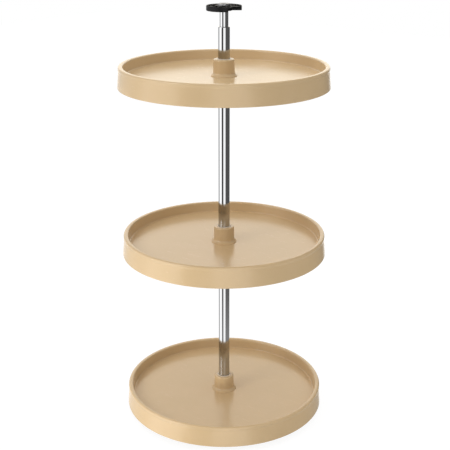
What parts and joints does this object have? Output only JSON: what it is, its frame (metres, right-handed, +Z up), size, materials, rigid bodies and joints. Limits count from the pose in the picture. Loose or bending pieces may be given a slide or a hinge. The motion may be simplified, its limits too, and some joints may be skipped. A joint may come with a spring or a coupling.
{
  "type": "rotating pantry shelf unit",
  "caption": "Round rimmed trays with central bosses that turn one by one on a telescoping chrome pole, with a screw-down base plate and a round black top bracket.",
  "frame": {"origin": "centre of the base plate's underside, on the pole's axis, where the unit stands on the cabinet floor", "axes": "+Z up the pole, +X through the top bracket's two screw holes; the picture looks from between -Y and +X"},
  "size_m": [0.457, 0.457, 0.9386],
  "materials": {
    "tray_polymer": "moulded polymer, even gloss",
    "chrome": "bright chrome plate on steel tube",
    "black_nylon": "black moulded nylon, fine grain",
    "white_nylon": "natural nylon and acetal",
    "zinc": "bright zinc plate",
    "dark_steel": "black oxide on alloy steel"
  },
  "bodies": {
    "pole_post": {"base_plate": "black_nylon", "outer_tube": "chrome", "mouth_bush": "white_nylon"},
    "pole_slider": {"guide_ring": "white_nylon"},
    "upper_pole": {"inner_tube": "chrome", "lock_spindle": "zinc", "cam_retainer": "dark_steel", "top_plug": "zinc", "pivot_cap": "zinc"},
    "lock_cam": {"lock_cam": "white_nylon"},
    "top_bracket": {"top_bracket": "black_nylon"},
    "bottom_support": {"bottom_support_collar": "zinc", "bottom_set_screw": "dark_steel", "bottom_thrust_washer": "white_nylon"},
    "bottom_shelf": {"bottom_tray": "tray_polymer", "bottom_upper_bush": "white_nylon", "bottom_lower_bush": "white_nylon"},
    "middle_support": {"middle_support_collar": "zinc", "middle_set_screw": "dark_steel", "middle_thrust_washer": "white_nylon"},
    "middle_shelf": {"middle_tray": "tray_polymer", "middle_upper_bush": "white_nylon", "middle_lower_bush": "white_nylon"},
    "top_support": {"top_support_collar": "zinc", "top_set_screw": "dark_steel", "top_thrust_washer": "white_nylon"},
    "top_shelf": {"top_tray": "tray_polymer", "top_upper_bush": "white_nylon", "top_lower_bush": "white_nylon"}
  },
  "joints": [
    {"name": "pole_extension", "type": "slide", "parent": "pole_post", "child": "pole_slider", "axis": [0, 0, 1], "range_m": [-0.03, 0.12]},
    {"name": "pole_twist", "type": "hinge", "parent": "pole_slider", "child": "upper_pole", "pos_m": [0, 0, 0.73], "axis": [0, 0, 1], "range_deg": [0, 50]},
    {"name": "lock_cam_turn", "type": "hinge", "parent": "upper_pole", "child": "lock_cam", "pos_m": [0.0006, 0, 0.708], "axis": [0, 0, 1], "range_deg": [-50, 0]},
    {"name": "top_bracket_swivel", "type": "hinge", "parent": "upper_pole", "child": "top_bracket", "pos_m": [0, 0, 0.93], "axis": [0, 0, 1], "continuous": true},
    {"name": "bottom_shelf_height", "type": "slide", "parent": "pole_post", "child": "bottom_support", "axis": [0, 0, 1], "range_m": [0, 0.1]},
    {"name": "bottom_shelf_spin", "type": "hinge", "parent": "bottom_support", "child": "bottom_shelf", "pos_m": [0, 0, 0.038], "axis": [0, 0, 1], "continuous": true},
    {"name": "middle_shelf_height", "type": "slide", "parent": "pole_post", "child": "middle_support", "axis": [0, 0, 1], "range_m": [-0.1, 0.1]},
    {"name": "middle_shelf_spin", "type": "hinge", "parent": "middle_support", "child": "middle_shelf", "pos_m": [0, 0, 0.411], "axis": [0, 0, 1], "continuous": true},
    {"name": "top_shelf_height", "type": "slide", "parent": "pole_post", "child": "top_support", "axis": [0, 0, 1], "range_m": [-0.1, 0.05]},
    {"name": "top_shelf_spin", "type": "hinge", "parent": "top_support", "child": "top_shelf", "pos_m": [0, 0, 0.787], "axis": [0, 0, 1], "continuous": true}
  ],
  "couplings": [
    {"joint": "lock_cam_turn", "follows": "pole_twist", "ratio": -1}
  ]
}
